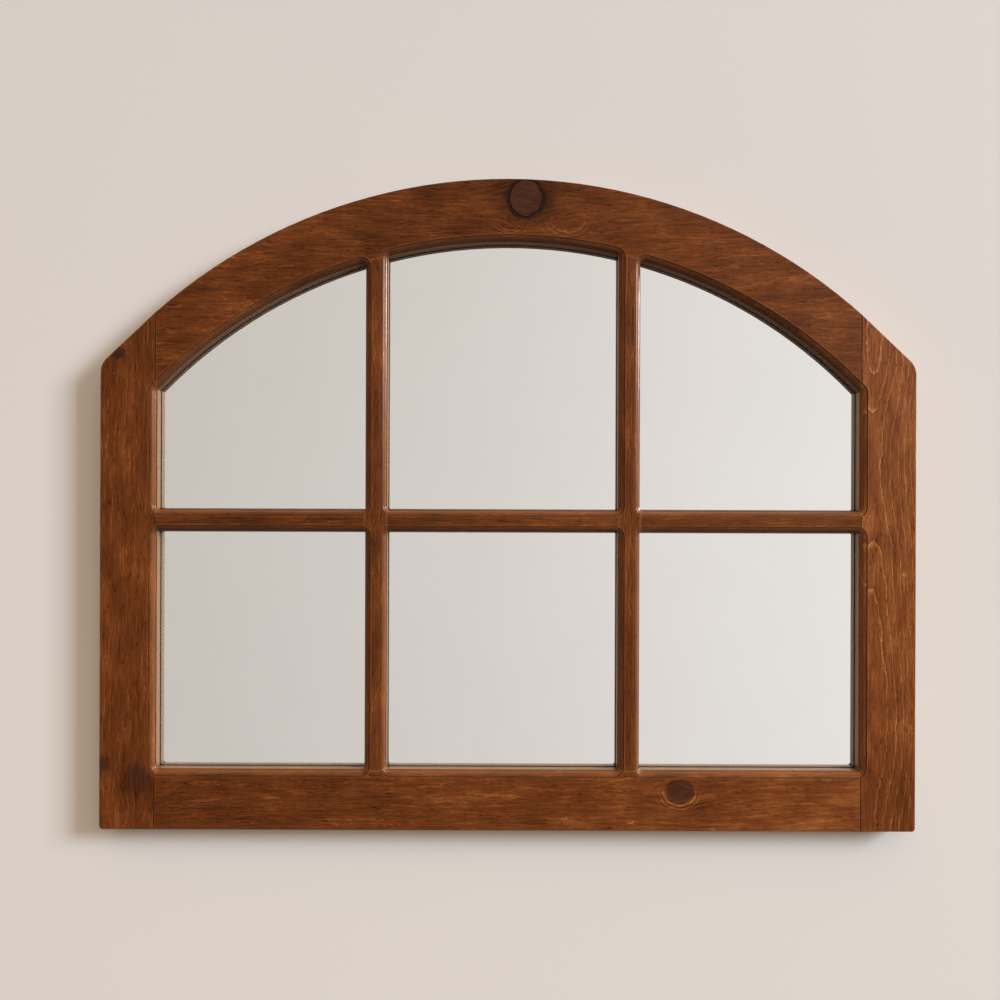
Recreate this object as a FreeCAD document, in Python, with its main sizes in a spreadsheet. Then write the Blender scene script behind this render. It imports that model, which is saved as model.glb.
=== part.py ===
"""Arched window mirror: a six-light window frame of stained pine round one arched mirror plate.

The frame is made the way a joiner makes it. Two stiles stand full height, an arched head rail and a
bottom rail are dowelled between them, and three glazing bars are tenoned in and half-lapped where they
cross. The assembled frame is then routed round each light with a bearing-guided ovolo cutter, and
rebated from behind for the plate and its backing board, which offset clips hold in. Two D-ring
hangers and two rubber bumpers keep it on the wall.

Bench frame: X to the right from the middle, Z up from the bottom edge, Y towards the wall from the
frame's back. The finished pieces are moved so that the origin lies in the wall's plane, midway between
the two points where wall hooks carry the rings.
"""
import FreeCAD, Part
import enum
import math
import os
import re

import Sketcher
from FreeCAD import Vector

SIZES = [
    # the outline
    ("frame_width", 1168, "overall width"),
    ("frame_height", 933, "bottom edge to the crown of the arch"),
    ("frame_thickness", 35, "stiles and rails, front to back"),
    ("outer_arch_rise", 192.5, "crown above the outer ends of the head's joints"),
    ("sight_arch_rise", 214, "sight edge's crown above the inner ends of the head's joints"),
    ("crown_width", 89, "arched head at its middle, edge to edge"),
    ("shoulder_drop", 74.5, "head's joint down to the stile's shoulder"),
    ("shoulder_round", 28, "radius of the shoulder"),
    ("foot_round", 5, "radius of the two bottom corners"),
    # members
    ("stile_width", 78.5, "stile, edge to edge"),
    ("bottom_rail_width", 85, "bottom rail, edge to edge"),
    ("bar_width", 31.5, "glazing bar, edge to edge"),
    ("cross_bar_height", 442.5, "bottom edge to the middle of the cross bar"),
    ("left_light_width", 300, "left stile to the left upright bar"),
    ("centre_light_width", 332, "between the two upright bars"),
    # the routed edge and the eased arrises
    ("ovolo_radius", 8, "quarter round of the routed edge"),
    ("quirk_depth", 1.5, "step down from the front face to the quarter round"),
    ("ledge_width", 1.2, "flat between the quarter round and the sight edge"),
    ("cutter_bearing_radius", 6, "bearing that guides the cutter round each light"),
    ("front_arris_round", 1.5, "eased outer edges of the front"),
    ("back_arris_round", 1, "eased outer edges of the back"),
    ("joint_chamfer", 0.5, "eased edges where rails meet stiles"),
    # the rebate and what lies in it
    ("rebate_width", 10, "rebate behind the sight edge"),
    ("plate_gap", 1.5, "between the plate's edge and the rebate"),
    ("plate_thickness", 4, "silvered glass"),
    ("backing_thickness", 3, "hardboard"),
    ("backing_recess", 3, "backing board's back to the frame's back"),
    # joints
    ("tenon_length", 12, "stub tenon of a glazing bar"),
    ("tenon_thickness", 8, "stub tenon, front to back"),
    ("tenon_shoulder", 0.8, "tenon's cheek to the routed edge"),
    ("mortise_gap", 0.5, "left past the end of a tenon or dowel"),
    ("dowel_diameter", 8, "plain beech dowel"),
    ("dowel_length", 50, "half in the stile, half in the rail"),
    ("dowel_bevel", 1, "bevel at a dowel's ends"),
    ("dowel_gap", 0.05, "round a dowel, on the radius"),
    ("head_dowel_inset", 37, "dowels from the edges of the head's joint"),
    ("foot_dowel_inset", 18, "dowels from the edges of the bottom rail's joint"),
    # offset clips and their screws
    ("clip_gauge", 1.2, "sheet steel"),
    ("clip_width", 12, "offset clip"),
    ("clip_foot", 18, "part of the clip on the frame's back"),
    ("clip_toe", 9, "part of the clip on the backing board"),
    ("clip_round", 3, "corners of the clip"),
    ("clip_gap", 0.3, "clip to the rebate's wall"),
    ("clip_hole_inset", 9.5, "screw from the rebate's wall"),
    ("clip_end_inset", 65, "outer clips from the ends of a side"),
    ("clip_screw_diameter", 3.5, "shank"),
    ("clip_screw_length", 16, "under the head"),
    ("clip_screw_head", 7, "pan head's diameter"),
    ("clip_screw_rise", 2, "pan head's height"),
    ("shank_gap", 0.05, "round a screw's shank, on the radius"),
    # hangers
    ("strap_gauge", 1.2, "sheet steel"),
    ("strap_width", 16, "strap"),
    ("strap_end", 9, "lower screw to the strap's lower end"),
    ("strap_end_round", 7, "corners of the strap's lower end"),
    ("wire_diameter", 3, "ring"),
    ("knuckle_gap", 0.2, "ring's bar in its knuckle, on the radius"),
    ("ring_side_gap", 0.5, "strap's edge to the ring's bend"),
    ("ring_corner", 3, "bend between the ring's bar and a leg, on the wire's centre line"),
    ("ring_leg", 3, "straight part of the ring's leg"),
    ("ring_screw_gap", 2, "hanging ring to the upper screw's head"),
    ("hanger_drop", 91, "shoulder down to the hinge lines"),
    ("screw_pitch", 16, "upper screw to lower screw"),
    ("strap_screw_diameter", 4, "shank"),
    ("strap_screw_length", 20, "under the head"),
    ("strap_screw_head", 8, "pan head's diameter"),
    ("strap_screw_rise", 2.2, "pan head's height"),
    # bumpers
    ("wall_clearance", 0.7, "strap's knuckle to the wall"),
    ("bumper_diameter", 19, "bumper where it is stuck to the frame"),
    ("bumper_taper", 1.5, "narrower by this on the radius at the wall"),
    ("bumper_round", 1.2, "bumper's outer edge"),
    ("bumper_height", 34, "bottom edge to the bumper's middle"),
]
STILE_CLIPS = 3
BOTTOM_CLIPS = 4
HEAD_CLIPS = 5
CURL_END = -60  # degrees from straight out of the plate to where the strap's curl ends
SPARE = 2  # how far a cutter reaches past what it cuts


class Point(enum.IntEnum):
    """How a sketch's constraints name a point of an edge."""

    START = 1
    END = 2
    CENTRE = 3


class Axis(enum.IntEnum):
    """How a sketch's constraints name its axes, which start at its origin."""

    ACROSS = -1
    UPRIGHT = -2


doc = FreeCAD.newDocument("arched_window_mirror")
sheet = doc.addObject("Spreadsheet::Sheet", "Sizes")
for row, (alias, number, meaning) in enumerate(SIZES, start=1):
    sheet.set(f"A{row}", alias)
    sheet.set(f"B{row}", str(number))
    sheet.set(f"C{row}", meaning)
    sheet.setAlias(f"B{row}", alias)
doc.recompute()

ALIASES = re.compile(r"\b(" + "|".join(alias for alias, _, _ in SIZES) + r")\b")

# Places that several pieces share, as expressions of the sheet's sizes.
OPENING = "(frame_width / 2 - stile_width)"
HEAD_JOINT_TOP = "(frame_height - outer_arch_rise)"
HEAD_JOINT_FOOT = "(frame_height - crown_width - sight_arch_rise)"
SHOULDER = f"({HEAD_JOINT_TOP} - shoulder_drop)"
OUTER_RADIUS = f"(({OPENING}^2 + outer_arch_rise^2) / (2 * outer_arch_rise))"
OUTER_CENTRE = f"(frame_height - {OUTER_RADIUS})"
SIGHT_RADIUS = f"(({OPENING}^2 + sight_arch_rise^2) / (2 * sight_arch_rise))"
SIGHT_CENTRE = f"(frame_height - crown_width - {SIGHT_RADIUS})"
LEFT_BAR = f"(left_light_width - {OPENING} + bar_width / 2)"
RIGHT_BAR = f"({LEFT_BAR} + bar_width + centre_light_width)"
CROSS_BAR_FOOT = "(cross_bar_height - bar_width / 2)"
CROSS_BAR_TOP = "(cross_bar_height + bar_width / 2)"
MOULDING_WIDTH = "(ovolo_radius + ledge_width)"
MOULDING_DEPTH = "(ovolo_radius + quirk_depth)"
REBATE_DEPTH = "(plate_thickness + backing_thickness + backing_recess)"
REBATE_EDGE = f"({OPENING} + rebate_width)"
REBATE_FLOOR = "(bottom_rail_width - rebate_width)"
REBATE_RADIUS = f"({SIGHT_RADIUS} + rebate_width)"
BAR_THICKNESS = f"(frame_thickness - {REBATE_DEPTH})"
TENON_WIDTH = f"(bar_width - 2 * ({MOULDING_WIDTH} + tenon_shoulder))"
TENON_BACK = f"({REBATE_DEPTH} + ({BAR_THICKNESS} - {MOULDING_DEPTH} - tenon_thickness) / 2)"
KNUCKLE_BORE = "(wire_diameter / 2 + knuckle_gap)"
KNUCKLE_RADIUS = f"({KNUCKLE_BORE} + strap_gauge)"
RING_HALF_WIDTH = "(strap_width / 2 + ring_side_gap + ring_corner)"
RING_REACH = f"(ring_corner + ring_leg + {RING_HALF_WIDTH})"
UPPER_SCREW = f"({RING_REACH} + wire_diameter / 2 + ring_screw_gap + strap_screw_head / 2)"
LOWER_SCREW = f"({UPPER_SCREW} + screw_pitch)"
HANGER_X = f"(({REBATE_EDGE} + frame_width / 2) / 2)"
HINGE_HEIGHT = f"({SHOULDER} - hanger_drop)"
HANGING_HEIGHT = f"({HINGE_HEIGHT} + {RING_REACH} - wire_diameter / 2)"
WALL = f"(2 * {KNUCKLE_RADIUS} + wall_clearance)"


# ---------------------------------------------------------------- reading and binding sizes


def bound(text):
    """The expression with each alias given the sheet's name."""
    return ALIASES.sub(r"Sizes.\1", text)


def size(text):
    """The expression's value now, in millimetres or degrees."""
    return float(sheet.evalExpression(bound(text)))


def bind(thing, path, text):
    """Ties one property of a document object to an expression."""
    thing.setExpression(path, bound(text))


def place(thing, x, y, z):
    """Ties an object's position to three expressions."""
    for letter, text in zip("xyz", (x, y, z)):
        bind(thing, f"Placement.Base.{letter}", text)


# ---------------------------------------------------------------- sketches


def new_sketch(body, name, plane="XZ_Plane", offset="0"):
    """An empty sketch on one of the body's own planes, offset along the plane's normal, which points
    to the front from the XZ plane and to the right from the YZ plane."""
    sketch = body.newObject("Sketcher::SketchObject", name)
    support = next(f for f in body.Origin.OriginFeatures if f.Role == plane)
    sketch.AttachmentSupport = [(support, "")]
    sketch.MapMode = "FlatFace"
    bind(sketch, "AttachmentOffset.Base.z", offset)
    return sketch


def line(start, end):
    return Part.LineSegment(Vector(*start, 0), Vector(*end, 0))


def circle(centre, radius):
    return Part.Circle(Vector(*centre, 0), Vector(0, 0, 1), radius)


def arc(centre, radius, start, end):
    """An arc round centre from one point to another, anticlockwise."""
    turns = [math.atan2(p[1] - centre[1], p[0] - centre[0]) for p in (start, end)]
    return Part.ArcOfCircle(circle(centre, radius), *turns)


def draw_loop(sketch, edges, smooth=()):
    """Adds a closed loop of edges. Those whose places are in smooth run tangent into the next."""
    first = sketch.GeometryCount
    sketch.addGeometry(edges, False)
    for i, edge in enumerate(edges):
        following = (i + 1) % len(edges)
        ends, starts = (
            [(e.StartPoint, Point.START), (e.EndPoint, Point.END)] for e in (edge, edges[following])
        )
        meeting = min((a.distanceToPoint(b), m, n) for a, m in ends for b, n in starts)
        kind = "Tangent" if i in smooth else "Coincident"
        rule = Sketcher.Constraint(kind, first + i, meeting[1], first + following, meeting[2])
        sketch.addConstraint(rule)
    return range(first, first + len(edges))


def hold(sketch, kind, where, text):
    """A dimension on the sketch, tied to an expression."""
    index = sketch.addConstraint(Sketcher.Constraint(kind, *where, size(text)))
    bind(sketch, f"Constraints[{index}]", text)


def hold_x(sketch, edge, point, text):
    hold(sketch, "DistanceX", (Axis.ACROSS, Point.START, edge, point), text)


def hold_y(sketch, edge, point, text):
    hold(sketch, "DistanceY", (Axis.ACROSS, Point.START, edge, point), text)


def upright(sketch, edge, text):
    """Keeps a line vertical, at x."""
    sketch.addConstraint(Sketcher.Constraint("Vertical", edge))
    hold_x(sketch, edge, Point.START, text)


def level(sketch, edge, text):
    """Keeps a line horizontal, at y."""
    sketch.addConstraint(Sketcher.Constraint("Horizontal", edge))
    hold_y(sketch, edge, Point.START, text)


def centred_arc(sketch, edge, centre_y, radius):
    """Keeps an arc's or circle's centre on the vertical axis, and its radius."""
    sketch.addConstraint(Sketcher.Constraint("PointOnObject", edge, Point.CENTRE, Axis.UPRIGHT))
    hold_y(sketch, edge, Point.CENTRE, centre_y)
    hold(sketch, "Radius", (edge,), radius)


def draw_rectangle(sketch, left, bottom, right, top):
    """A rectangle between four expressions."""
    x0, y0, x1, y1 = (size(text) for text in (left, bottom, right, top))
    corners = [(x0, y0), (x1, y0), (x1, y1), (x0, y1)]
    edges = [line(a, b) for a, b in zip(corners, corners[1:] + corners[:1])]
    foot, far, head, near = draw_loop(sketch, edges)
    level(sketch, foot, bottom)
    upright(sketch, far, right)
    level(sketch, head, top)
    upright(sketch, near, left)


def draw_polygon(sketch, corners):
    """A polygon whose corners are pairs of expressions."""
    points = [(size(x), size(y)) for x, y in corners]
    edges = [line(a, b) for a, b in zip(points, points[1:] + points[:1])]
    for edge, (x, y) in zip(draw_loop(sketch, edges), corners):
        hold_x(sketch, edge, Point.START, x)
        hold_y(sketch, edge, Point.START, y)


def draw_arched(sketch, left, bottom, right, radius):
    """Two uprights on a level foot, under an arc round the sight edge's centre."""
    x0, y0, x1, r, middle = (size(text) for text in (left, bottom, right, radius, SIGHT_CENTRE))
    top0, top1 = (middle + math.sqrt(r * r - x * x) for x in (x0, x1))
    edges = [
        line((x0, y0), (x1, y0)),
        line((x1, y0), (x1, top1)),
        arc((0, middle), r, (x1, top1), (x0, top0)),
        line((x0, top0), (x0, y0)),
    ]
    foot, far, head, near = draw_loop(sketch, edges)
    level(sketch, foot, bottom)
    upright(sketch, far, right)
    centred_arc(sketch, head, SIGHT_CENTRE, radius)
    upright(sketch, near, left)


def draw_holes(sketch, radius, heights):
    """Round holes on the vertical axis."""
    for number, height in enumerate(heights):
        sketch.addGeometry(circle((0, size(height)), size(radius)), False)
        centred_arc(sketch, number, height, radius)


# ---------------------------------------------------------------- features


def new_body(name):
    return doc.addObject("PartDesign::Body", name)


def pad(body, sketch, length):
    """Thickens a sketch along its plane's normal."""
    feature = body.newObject("PartDesign::Pad", sketch.Name + "_pad")
    feature.Profile = sketch
    bind(feature, "Length", length)
    doc.recompute()


def pocket(body, sketch, length):
    """Cuts a sketch into the body against its plane's normal, and checks that it cut."""
    before = body.Shape.Volume
    feature = body.newObject("PartDesign::Pocket", sketch.Name + "_pocket")
    feature.Profile = sketch
    bind(feature, "Length", length)
    doc.recompute()
    if body.Shape.Volume >= before:
        raise RuntimeError(f"{feature.Name} cut nothing")


def turn(body, sketch):
    """Turns a half section round its vertical axis."""
    feature = body.newObject("PartDesign::Revolution", sketch.Name + "_turned")
    feature.Profile = sketch
    feature.ReferenceAxis = (sketch, ["V_Axis"])
    feature.Angle = 360
    doc.recompute()


def sweep(body, section, path):
    """Carries a section along every edge of a path."""
    feature = body.newObject("PartDesign::AdditivePipe", path.Name + "_sweep")
    feature.Profile = section
    feature.Spine = (path, [f"Edge{n}" for n in range(1, path.GeometryCount + 1)])
    doc.recompute()


def edges_where(shape, test):
    """Names of the edges whose middle and end points pass the test."""
    names = []
    for number, edge in enumerate(shape.Edges, start=1):
        middle = edge.valueAt((edge.FirstParameter + edge.LastParameter) / 2)
        if all(test(point) for point in [middle] + [v.Point for v in edge.Vertexes]):
            names.append(f"Edge{number}")
    return names


def ease(body, kind, name, amount, test):
    """Rounds (Fillet) or bevels (Chamfer) the body's edges that pass the test."""
    names = edges_where(body.Shape, test)
    if not names:
        raise RuntimeError(f"{name} found no edge")
    base = body.Tip
    feature = body.newObject(f"PartDesign::{kind}", name)
    feature.Base = (base, names)
    bind(feature, "Radius" if kind == "Fillet" else "Size", amount)
    doc.recompute()


def same(a, b):
    return abs(a - b) < 0.01


def group(name, pieces):
    """Several solids as one object."""
    feature = doc.addObject("Part::Compound", name)
    feature.Links = pieces
    return feature


def copy_of(piece, name, x, y, z, angle="0"):
    """A link to a piece at another place, turned by degrees about the front-to-back axis."""
    link = doc.addObject("App::Link", name)
    link.LinkedObject = piece
    link.Placement.Rotation = FreeCAD.Rotation(Vector(0, 1, 0), 1)
    bind(link, "Placement.Rotation.Angle", angle)
    place(link, x, y, z)
    return link


def cut(name, base, tools):
    """The base with all the tools taken away."""
    feature = doc.addObject("Part::Cut", name)
    feature.Base = base
    feature.Tool = group(name + "_cutters", tools)
    return feature


# ---------------------------------------------------------------- frame members, before routing


def ease_outer_edges(body, name, on_outer_edge):
    """Eases the front and back arrises along the outside of the frame."""
    front = -size("frame_thickness")
    ease(body, "Fillet", name + "_front_arris", "front_arris_round",
         lambda p: same(p.y, front) and on_outer_edge(p))
    ease(body, "Fillet", name + "_back_arris", "back_arris_round",
         lambda p: same(p.y, 0) and on_outer_edge(p))


def ease_joints(body, name):
    """Bevels the front edges where a rail meets a stile."""
    front, joint = -size("frame_thickness"), size(OPENING)
    ease(body, "Chamfer", name + "_joint_chamfer", "joint_chamfer",
         lambda p: same(p.y, front) and same(abs(p.x), joint))


def stile_blank(name, side):
    """A full-height stile, its top sawn straight from the head's joint down to the shoulder."""
    body = new_body(name)
    sketch = new_sketch(body, name + "_outline")
    draw_polygon(sketch, [
        (f"{side} * {OPENING}", "0"),
        (f"{side} * frame_width / 2", "0"),
        (f"{side} * frame_width / 2", SHOULDER),
        (f"{side} * {OPENING}", HEAD_JOINT_TOP),
    ])
    pad(body, sketch, "frame_thickness")
    inner, outer, shoulder = size(OPENING), size("frame_width / 2"), size(SHOULDER)
    ease_joints(body, name)
    ease(body, "Fillet", name + "_shoulder", "shoulder_round",
         lambda p: same(abs(p.x), outer) and same(p.z, shoulder))
    ease(body, "Fillet", name + "_foot", "foot_round",
         lambda p: same(abs(p.x), outer) and same(p.z, 0))
    ease_outer_edges(body, name,
                     lambda p: abs(p.x) > inner + 1 or same(p.z, 0) or p.z > shoulder)
    return body


def head_blank(name):
    """The arched head, sawn from wide stock between two arcs of different centres."""
    body = new_body(name)
    sketch = new_sketch(body, name + "_outline")
    half, top, foot = size(OPENING), size(HEAD_JOINT_TOP), size(HEAD_JOINT_FOOT)
    outer_centre, sight_centre = (0, size(OUTER_CENTRE)), (0, size(SIGHT_CENTRE))
    edges = [
        line((half, foot), (half, top)),
        arc(outer_centre, size(OUTER_RADIUS), (half, top), (-half, top)),
        line((-half, top), (-half, foot)),
        arc(sight_centre, size(SIGHT_RADIUS), (half, foot), (-half, foot)),
    ]
    right_end, back, left_end, belly = draw_loop(sketch, edges)
    upright(sketch, right_end, OPENING)
    centred_arc(sketch, back, OUTER_CENTRE, OUTER_RADIUS)
    upright(sketch, left_end, f"-1 * {OPENING}")
    centred_arc(sketch, belly, SIGHT_CENTRE, SIGHT_RADIUS)
    pad(body, sketch, "frame_thickness")
    ease_joints(body, name)
    middle, radius = size(OUTER_CENTRE), size(OUTER_RADIUS)
    ease_outer_edges(body, name, lambda p: same(math.hypot(p.x, p.z - middle), radius))
    return body


def bottom_rail_blank(name):
    """The bottom rail, butted between the stiles."""
    body = new_body(name)
    sketch = new_sketch(body, name + "_outline")
    draw_rectangle(sketch, f"-1 * {OPENING}", "0", OPENING, "bottom_rail_width")
    pad(body, sketch, "frame_thickness")
    ease_joints(body, name)
    ease_outer_edges(body, name, lambda p: same(p.z, 0))
    return body


def upright_bar_blank(name, middle):
    """An upright glazing bar: coped to the arch, stub tenoned, and lapped from behind."""
    body = new_body(name)
    left, right = f"({middle} - bar_width / 2)", f"({middle} + bar_width / 2)"
    outline = new_sketch(body, name + "_outline", offset=REBATE_DEPTH)
    draw_arched(outline, left, "bottom_rail_width", right, SIGHT_RADIUS)
    pad(body, outline, BAR_THICKNESS)
    tenons = new_sketch(body, name + "_tenons", offset=TENON_BACK)
    draw_rectangle(tenons, *upright_tenons(middle, "tenon_length"))
    pad(body, tenons, "tenon_thickness")
    lap = new_sketch(body, name + "_lap", offset=f"{REBATE_DEPTH} + {BAR_THICKNESS} / 2")
    draw_rectangle(lap, f"{left} - {SPARE}", CROSS_BAR_FOOT, f"{right} + {SPARE}", CROSS_BAR_TOP)
    pocket(body, lap, f"{BAR_THICKNESS} / 2 + {SPARE}")
    return body


def cross_bar_blank(name):
    """The cross bar: stub tenoned, and notched from the front under both upright bars."""
    body = new_body(name)
    outline = new_sketch(body, name + "_outline", offset=REBATE_DEPTH)
    draw_rectangle(outline, f"-1 * {OPENING}", CROSS_BAR_FOOT, OPENING, CROSS_BAR_TOP)
    pad(body, outline, BAR_THICKNESS)
    tenons = new_sketch(body, name + "_tenons", offset=TENON_BACK)
    draw_rectangle(tenons, *cross_tenons("tenon_length"))
    pad(body, tenons, "tenon_thickness")
    for side, middle in (("left", LEFT_BAR), ("right", RIGHT_BAR)):
        notch = new_sketch(body, f"{name}_{side}_notch", offset=f"frame_thickness + {SPARE}")
        left, right = f"{middle} - bar_width / 2", f"{middle} + bar_width / 2"
        foot, top = f"{CROSS_BAR_FOOT} - {SPARE}", f"{CROSS_BAR_TOP} + {SPARE}"
        draw_rectangle(notch, left, foot, right, top)
        pocket(body, notch, f"{BAR_THICKNESS} / 2 + {SPARE}")
    return body


def upright_tenons(middle, reach):
    """The rectangle that an upright bar's two tenons span, each as long as reach."""
    left, right = f"{middle} - {TENON_WIDTH} / 2", f"{middle} + {TENON_WIDTH} / 2"
    head = f"{SIGHT_CENTRE} + sqrt({SIGHT_RADIUS}^2 - {middle}^2)"
    return left, f"bottom_rail_width - ({reach})", right, f"{head} + ({reach})"


def cross_tenons(reach):
    """The rectangle that the cross bar's two tenons span, each as long as reach."""
    foot, top = f"cross_bar_height - {TENON_WIDTH} / 2", f"cross_bar_height + {TENON_WIDTH} / 2"
    return f"-1 * ({OPENING} + {reach})", foot, f"{OPENING} + {reach}", top


# ---------------------------------------------------------------- cutters


def straight_light(left, foot, right, top):
    """Edges that the cutter's bearing rolls along round a light with four straight sides."""
    r = size("cutter_bearing_radius")
    return light_edges(left, foot, right, [(right - r, top - r), (left + r, top - r)],
                       [(right - r, top), (left + r, top)], line)


def arched_light(left, foot, right):
    """Edges that the cutter's bearing rolls along round a light under the arch."""
    r, radius, middle = size("cutter_bearing_radius"), size(SIGHT_RADIUS), size(SIGHT_CENTRE)
    corners = [(x, middle + math.sqrt((radius - r) ** 2 - x * x)) for x in (right - r, left + r)]
    grow = radius / (radius - r)
    touches = [(x * grow, middle + (z - middle) * grow) for x, z in corners]
    return light_edges(left, foot, right, corners, touches,
                       lambda start, end: arc((0, middle), radius, start, end))


def light_edges(left, foot, right, corners, touches, top_edge):
    """Foot, right side, top and left side, with an arc after each where the bearing rolls round.
    The top is drawn between its touches, where it meets the arcs round the corners."""
    r = size("cutter_bearing_radius")
    (right_corner, left_corner), (right_touch, left_touch) = corners, touches
    return [
        line((left + r, foot), (right - r, foot)),
        arc((right - r, foot + r), r, (right - r, foot), (right, foot + r)),
        line((right, foot + r), (right, right_corner[1])),
        arc(right_corner, r, (right, right_corner[1]), right_touch),
        top_edge(right_touch, left_touch),
        arc(left_corner, r, left_touch, (left, left_corner[1])),
        line((left, left_corner[1]), (left, foot + r)),
        arc((left + r, foot + r), r, (left, foot + r), (left + r, foot)),
    ]


def light_path(body, name, left, foot, right, top):
    """The bearing's path round one light. Without a top it ends under the arch."""
    sketch = new_sketch(body, name, offset="frame_thickness")
    if top:
        edges = straight_light(size(left), size(foot), size(right), size(top))
    else:
        edges = arched_light(size(left), size(foot), size(right))
    sides = draw_loop(sketch, edges, smooth=range(8))
    level(sketch, sides[0], foot)
    upright(sketch, sides[2], right)
    if top:
        level(sketch, sides[4], top)
    else:
        centred_arc(sketch, sides[4], SIGHT_CENTRE, SIGHT_RADIUS)
    upright(sketch, sides[6], left)
    for corner in sides[1::2]:
        hold(sketch, "Radius", (corner,), "cutter_bearing_radius")
    return sketch


def ovolo_section(body, name, left, foot, right):
    """What the ovolo cutter takes away, drawn across the middle of the light's foot. From the front
    face: the quirk's step, the quarter round, the ledge, and the sight edge."""
    sketch = new_sketch(body, name, "YZ_Plane", f"({left} + {right}) / 2")
    face = f"(-1 * frame_thickness - {SPARE})"
    quirk = "(-1 * frame_thickness + quirk_depth)"
    ledge = f"(-1 * frame_thickness + {MOULDING_DEPTH})"
    wall = f"({foot} + {SPARE} / 2)"
    toe, outer = f"({foot} - ledge_width)", f"({foot} - {MOULDING_WIDTH})"
    y_face, y_quirk, y_ledge = size(face), size(quirk), size(ledge)
    z_wall, z_toe, z_outer = size(wall), size(toe), size(outer)
    edges = [
        line((y_face, z_wall), (y_face, z_outer)),
        line((y_face, z_outer), (y_quirk, z_outer)),
        arc((y_ledge, z_outer), size("ovolo_radius"), (y_ledge, z_toe), (y_quirk, z_outer)),
        line((y_ledge, z_toe), (y_ledge, z_wall)),
        line((y_ledge, z_wall), (y_face, z_wall)),
    ]
    front, step, ovolo, flat, inside = draw_loop(sketch, edges)
    upright(sketch, front, face)
    level(sketch, step, outer)
    upright(sketch, flat, ledge)
    level(sketch, inside, wall)
    hold(sketch, "Radius", (ovolo,), "ovolo_radius")
    hold_x(sketch, ovolo, Point.CENTRE, ledge)
    hold_y(sketch, ovolo, Point.CENTRE, outer)
    return sketch


def light_cutter(name, left, foot, right, top=""):
    """The ovolo cutter's whole sweep round one light."""
    body = new_body(name)
    path = light_path(body, name + "_path", left, foot, right, top)
    sweep(body, ovolo_section(body, name + "_section", left, foot, right), path)
    return body


def light_cutters():
    """The sweeps round the six lights, as two rows from left to right."""
    bars = [(f"({middle} - bar_width / 2)", f"({middle} + bar_width / 2)")
            for middle in (LEFT_BAR, RIGHT_BAR)]
    sides = [(f"-1 * {OPENING}", bars[0][0]), (bars[0][1], bars[1][0]), (bars[1][1], OPENING)]
    lower, upper = [], []
    for name, (left, right) in zip(("left", "middle", "right"), sides):
        foot = "bottom_rail_width"
        lower.append(light_cutter(f"lower_{name}_light", left, foot, right, CROSS_BAR_FOOT))
        upper.append(light_cutter(f"upper_{name}_light", left, CROSS_BAR_TOP, right))
    return lower, upper


def rebate_cutter(name):
    """The rebate that the plate and its backing lie in, from the back."""
    body = new_body(name)
    sketch = new_sketch(body, name + "_outline", offset=f"-1 * {SPARE}")
    draw_arched(sketch, f"-1 * {REBATE_EDGE}", REBATE_FLOOR, REBATE_EDGE, REBATE_RADIUS)
    pad(body, sketch, f"{REBATE_DEPTH} + {SPARE}")
    return body


def mortise_cutter(name, rectangle):
    """A slot as thick as a tenon, from the end of one mortise to the end of the other."""
    body = new_body(name)
    sketch = new_sketch(body, name + "_outline", offset=TENON_BACK)
    draw_rectangle(sketch, *rectangle)
    pad(body, sketch, "tenon_thickness")
    return body


# ---------------------------------------------------------------- plate and backing


def arched_sheet(name, back, thickness):
    """A sheet that stands on the rebate's floor and clears its sides and head."""
    body = new_body(name)
    sketch = new_sketch(body, name + "_outline", offset=back)
    edge, radius = f"({REBATE_EDGE} - plate_gap)", f"({REBATE_RADIUS} - plate_gap)"
    draw_arched(sketch, f"-1 * {edge}", REBATE_FLOOR, edge, radius)
    pad(body, sketch, thickness)
    return body


# ---------------------------------------------------------------- dowels, screws and clips


def round_bar(name, plane, radius, start, length):
    """A round bar square to one of its body's planes."""
    body = new_body(name)
    sketch = new_sketch(body, name + "_end", plane, start)
    draw_holes(sketch, radius, ["0"])
    pad(body, sketch, length)
    return body


def dowel(name):
    """A dowel along X, half to each side of the joint."""
    start = "-1 * dowel_length / 2"
    body = round_bar(name, "YZ_Plane", "dowel_diameter / 2", start, "dowel_length")
    end = size(start)
    ease(body, "Chamfer", name + "_bevels", "dowel_bevel", lambda p: same(abs(p.x), -end))
    return body


def dowel_hole(name):
    """The bore of both pieces that a dowel joins, a little deeper than the dowel reaches."""
    return round_bar(name, "YZ_Plane", "dowel_diameter / 2 + dowel_gap",
                     "-1 * dowel_length / 2 - mortise_gap", "dowel_length + 2 * mortise_gap")


def pan_screw(name, diameter, length, head, rise, bearing):
    """A pan-head screw that points to the front, its head's underside at bearing behind the frame."""
    body = new_body(name)
    sketch = new_sketch(body, name + "_half_section", "XY_Plane")
    draw_polygon(sketch, [
        ("0", f"{bearing} - {length}"),
        (f"{diameter} / 2", f"{bearing} - {length} + {diameter}"),
        (f"{diameter} / 2", bearing),
        (f"{head} / 2", bearing),
        (f"{head} / 2", f"{bearing} + {rise} / 2"),
        (f"{head} / 2 - {rise} / 2", f"{bearing} + {rise}"),
        ("0", f"{bearing} + {rise}"),
    ])
    turn(body, sketch)
    return body


def screw_hole(name, diameter, length, bearing):
    """The hole that a screw's shank fills."""
    return round_bar(name, "XZ_Plane", f"{diameter} / 2 + shank_gap", f"-1 * {SPARE}",
                     f"{SPARE} + {length} - {bearing} + mortise_gap")


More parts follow.
